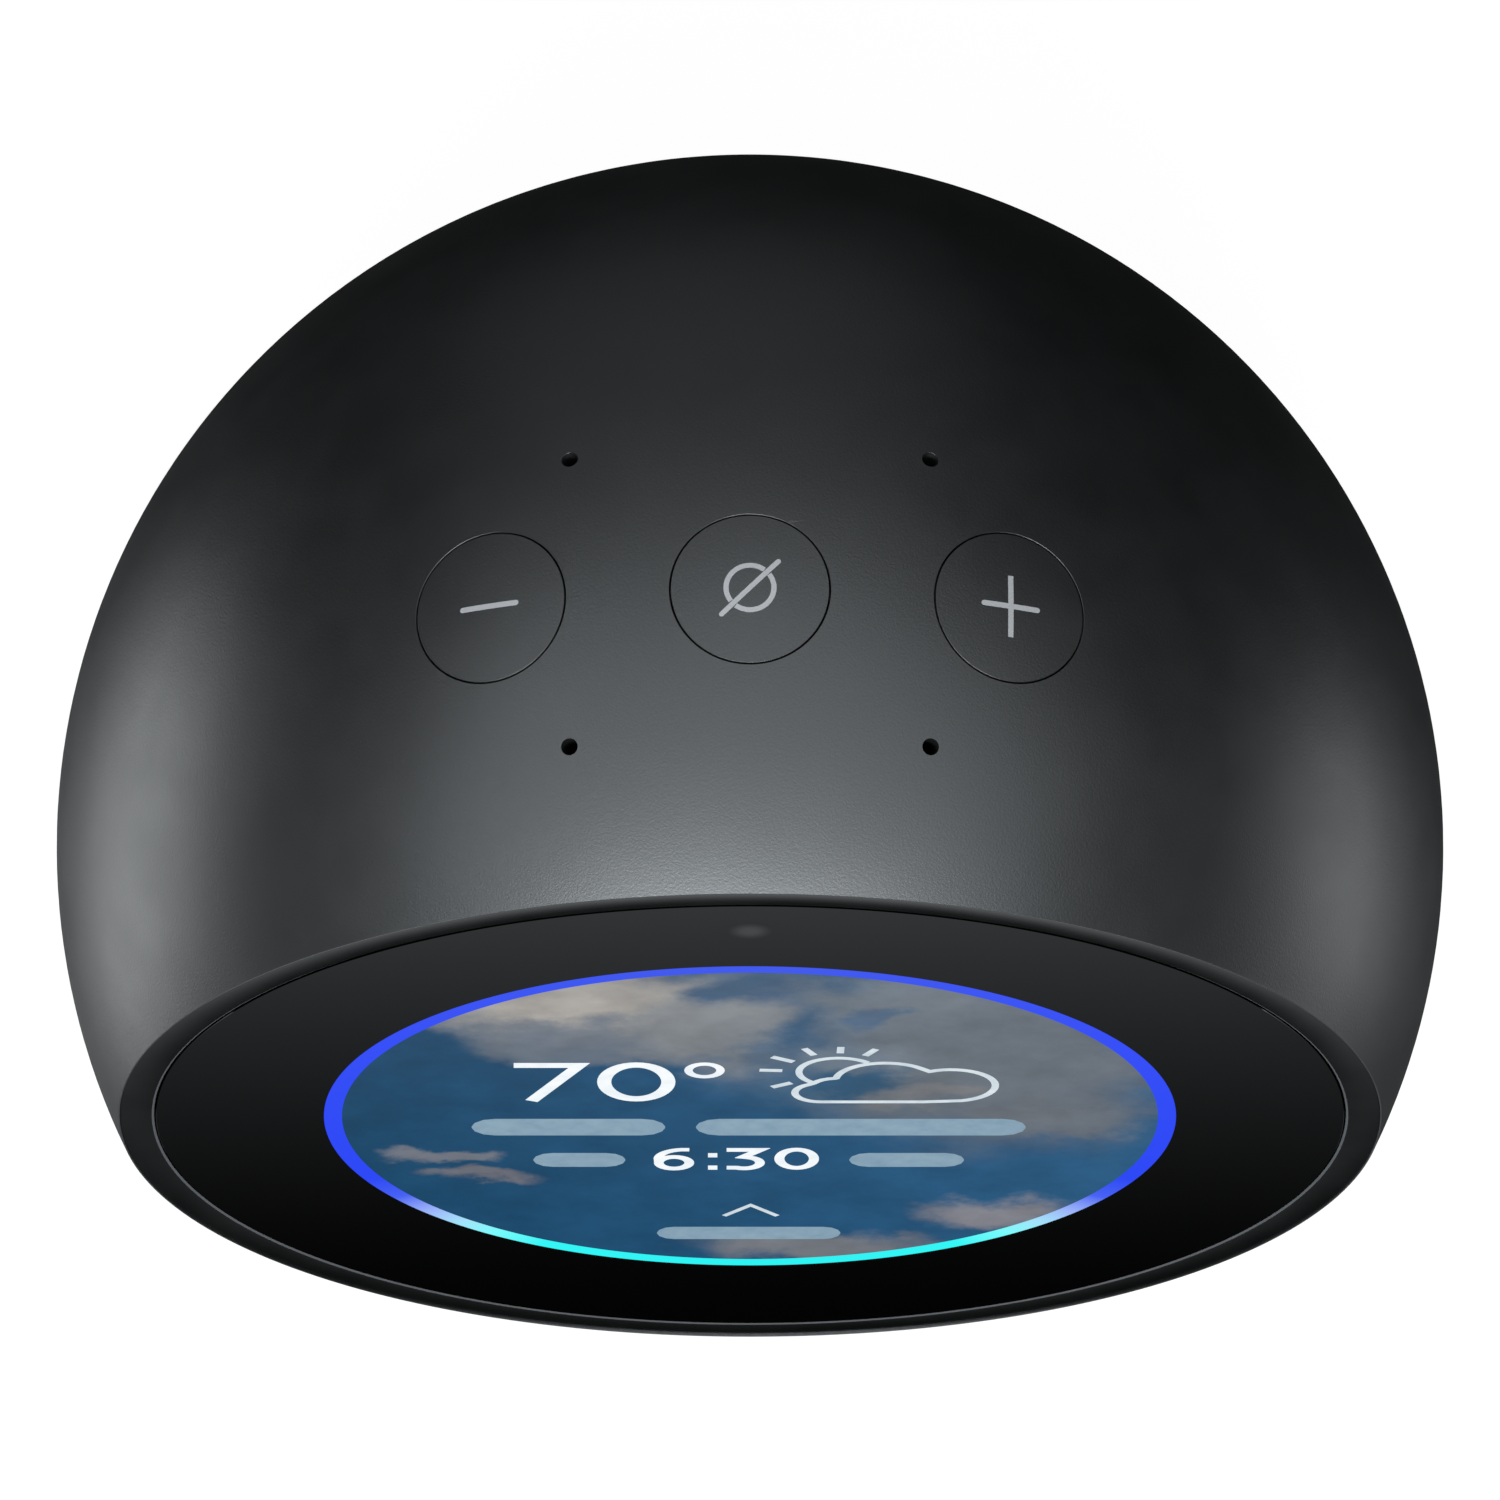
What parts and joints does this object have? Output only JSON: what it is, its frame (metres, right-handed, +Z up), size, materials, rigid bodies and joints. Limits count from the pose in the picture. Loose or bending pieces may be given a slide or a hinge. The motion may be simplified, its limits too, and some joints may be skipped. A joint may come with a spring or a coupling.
{
  "type": "smart display",
  "caption": "Ball-shaped tabletop smart display with a tilted round screen, flush push buttons on top, a down-firing speaker, and power and audio sockets at the back.",
  "frame": {"origin": "middle of the rubber foot's underside, straight below the ball's centre", "axes": "+X to the right as seen from the front, +Y towards the back, +Z up. The screen faces -Y and looks up by 24.7 degrees"},
  "size_m": [0.104, 0.0913, 0.097],
  "materials": {
    "shell_abs": "satin charcoal ABS with a fine spark-eroded grain",
    "button_abs": "satin charcoal ABS, a touch finer than the housing",
    "trim_abs": "dark satin moulded trim",
    "cover_glass": "polished cover glass, printed black behind",
    "lcd_picture": null,
    "light_guide": "clear acrylic diffuser",
    "steel": "stamped and plated",
    "aluminium": "die cast",
    "inner_abs": "moulded, unpainted",
    "circuit_board": "solder-masked glass epoxy",
    "flex": "amber polyimide film",
    "silicone": "matt silicone rubber",
    "nylon": "moulded black nylon",
    "cone_paper": "pressed paper",
    "magnet_steel": "nickel plated",
    "coil_copper": "enamelled copper wire",
    "contact_brass": "plated contact"
  },
  "bodies": {
    "housing": {"audio_jack": "nylon", "base_deck": "inner_abs", "bezel_carrier": "inner_abs", "button_carrier": "inner_abs", "button_flex": "flex", "camera_module": "nylon", "chassis": "aluminium", "chassis_screw_1": "steel", "chassis_screw_2": "steel", "chassis_screw_3": "steel", "chassis_screw_4": "steel", "cover_glass": "cover_glass", "dc_jack": "nylon", "dc_pin": "contact_brass", "display_flex": "flex", "display_tray": "steel", "foot_plate": "inner_abs", "foot_screw_1": "steel", "foot_screw_2": "steel", "foot_screw_3": "steel", "grille_ring": "steel", "heat_sink": "aluminium", "io_board": "circuit_board", "lcd_panel": "lcd_picture", "light_guide": "light_guide", "main_board": "circuit_board", "mic_boot_1": "silicone", "mic_boot_2": "silicone", "mic_boot_3": "silicone", "mic_boot_4": "silicone", "microphone_1": "contact_brass", "microphone_2": "contact_brass", "microphone_3": "contact_brass", "microphone_4": "contact_brass", "port_panel": "shell_abs", "processor_shield": "steel", "rubber_foot": "silicone", "shell": "shell_abs", "speaker_chamber": "inner_abs", "speaker_frame": "steel", "speaker_magnet": "magnet_steel", "speaker_surround": "silicone", "switch_minus": "steel", "switch_mute": "steel", "switch_plus": "steel", "trim_ring": "trim_abs", "wifi_antenna_left": "flex", "wifi_antenna_right": "flex"},
    "minus_button": {"button_minus": "button_abs", "plunger_minus": "nylon"},
    "mute_button": {"button_mute": "button_abs", "plunger_mute": "nylon"},
    "plus_button": {"button_plus": "button_abs", "plunger_plus": "nylon"},
    "speaker_diaphragm": {"speaker_cone": "cone_paper", "dust_cap": "cone_paper", "voice_coil": "coil_copper"}
  },
  "joints": [
    {"name": "button_minus_press", "type": "slide", "parent": "housing", "child": "minus_button", "axis": [0.3725, -0.4024, -0.8362], "range_m": [0, 0.0005], "stiffness_N_per_m": 2000},
    {"name": "button_mute_press", "type": "slide", "parent": "housing", "child": "mute_button", "axis": [0, -0.4337, -0.9011], "range_m": [0, 0.0005], "stiffness_N_per_m": 2000},
    {"name": "button_plus_press", "type": "slide", "parent": "housing", "child": "plus_button", "axis": [-0.3725, -0.4024, -0.8362], "range_m": [0, 0.0005], "stiffness_N_per_m": 2000},
    {"name": "speaker_cone_slide", "type": "slide", "parent": "housing", "child": "speaker_diaphragm", "axis": [0, 0, -1], "range_m": [-0.0008, 0.0008], "stiffness_N_per_m": 1250}
  ]
}
